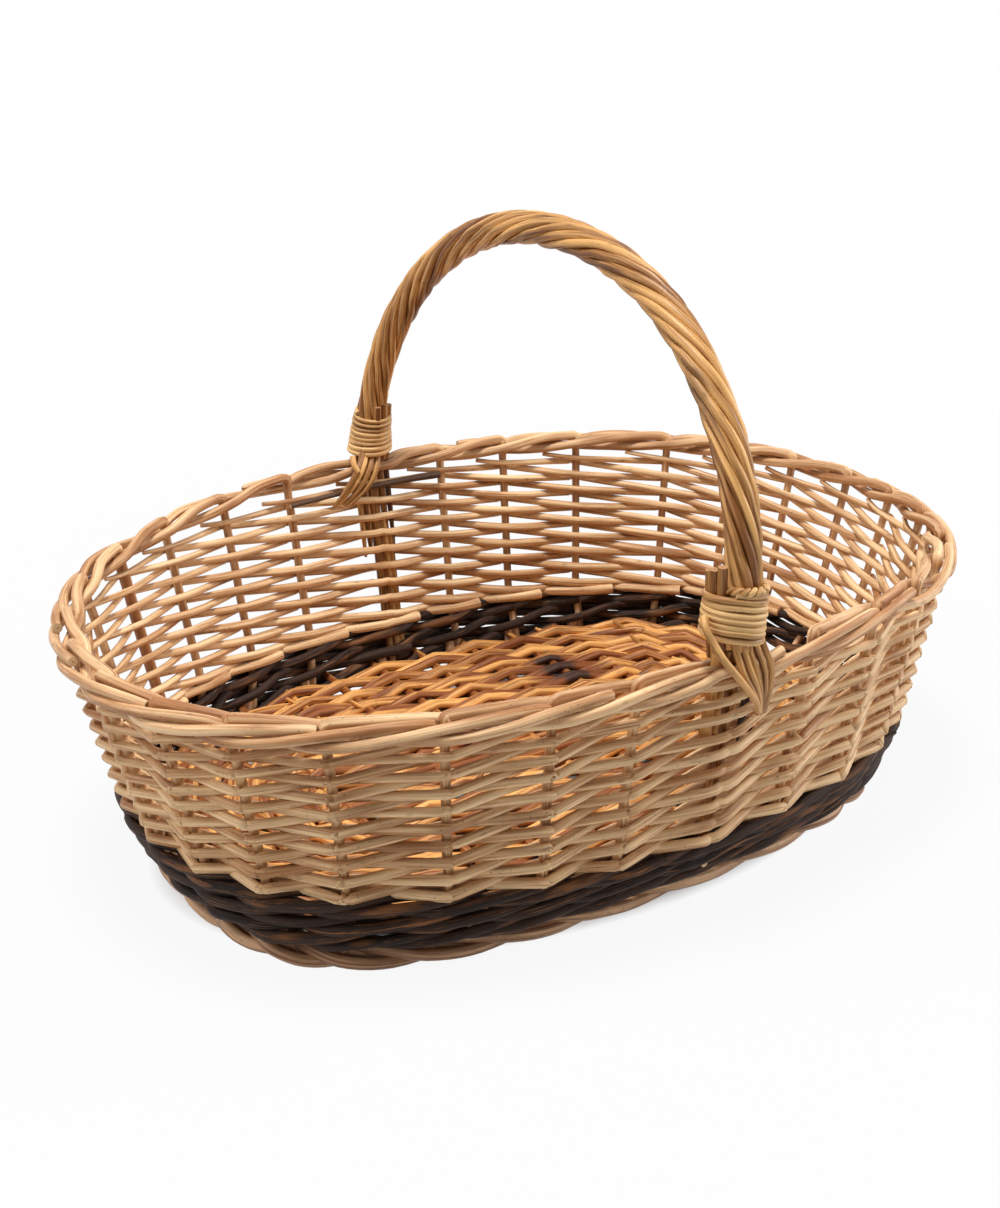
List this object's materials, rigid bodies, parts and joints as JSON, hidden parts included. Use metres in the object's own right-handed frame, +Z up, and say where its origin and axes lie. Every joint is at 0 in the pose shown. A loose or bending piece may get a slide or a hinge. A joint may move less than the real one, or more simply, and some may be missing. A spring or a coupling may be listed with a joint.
{
  "type": "basket",
  "caption": "Oval open-topped basket of woven willow rods with a rolled border, a dark band above a low foot, and a fixed roped arch handle across the middle.",
  "frame": {"origin": "on the floor, under the middle of the basket", "axes": "+X along the basket's long axis, +Y across it towards the back leg of the handle, +Z up"},
  "size_m": [0.5204, 0.3806, 0.3294],
  "materials": {
    "peeled_willow": "satin",
    "stake_willow": "satin",
    "dark_willow": "matte",
    "base_willow": "satin",
    "handle_willow": "satin"
  },
  "bodies": {
    "root": {"stake_01": "stake_willow", "stake_02": "stake_willow", "stake_03": "stake_willow", "stake_04": "stake_willow", "stake_05": "stake_willow", "stake_06": "stake_willow", "stake_07": "stake_willow", "stake_08": "stake_willow", "stake_09": "stake_willow", "stake_10": "stake_willow", "stake_11": "stake_willow", "stake_12": "stake_willow", "stake_13": "stake_willow", "stake_14": "stake_willow", "stake_15": "stake_willow", "stake_16": "stake_willow", "stake_17": "stake_willow", "stake_18": "stake_willow", "stake_19": "stake_willow", "stake_20": "stake_willow", "stake_21": "stake_willow", "stake_22": "stake_willow", "stake_23": "stake_willow", "stake_24": "stake_willow", "stake_25": "stake_willow", "stake_26": "stake_willow", "stake_27": "stake_willow", "stake_28": "stake_willow", "side_weaver_a": "peeled_willow", "side_weaver_b": "peeled_willow", "dark_weaver_1": "dark_willow", "dark_weaver_2": "dark_willow", "dark_weaver_3": "dark_willow", "foot_rod_1": "peeled_willow", "foot_rod_2": "peeled_willow", "foot_rod_3": "peeled_willow", "cross_stick_1": "base_willow", "cross_stick_2": "base_willow", "cross_stick_3": "base_willow", "cross_stick_4": "base_willow", "cross_stick_5": "base_willow", "cross_stick_6": "base_willow", "cross_stick_7": "base_willow", "cross_stick_8": "base_willow", "long_stick_back": "base_willow", "long_stick_front": "base_willow", "base_weaver_a": "base_willow", "base_weaver_b": "base_willow", "handle_bow": "handle_willow", "rope_rod_1": "handle_willow", "rope_rod_2": "handle_willow", "rope_rod_3": "handle_willow", "rope_rod_4": "handle_willow", "rope_rod_5": "handle_willow", "rope_rod_6": "handle_willow", "rope_rod_7": "handle_willow", "rope_rod_8": "handle_willow", "rope_rod_9": "handle_willow", "back_binding": "peeled_willow", "front_binding": "peeled_willow"}
  },
  "joints": []
}
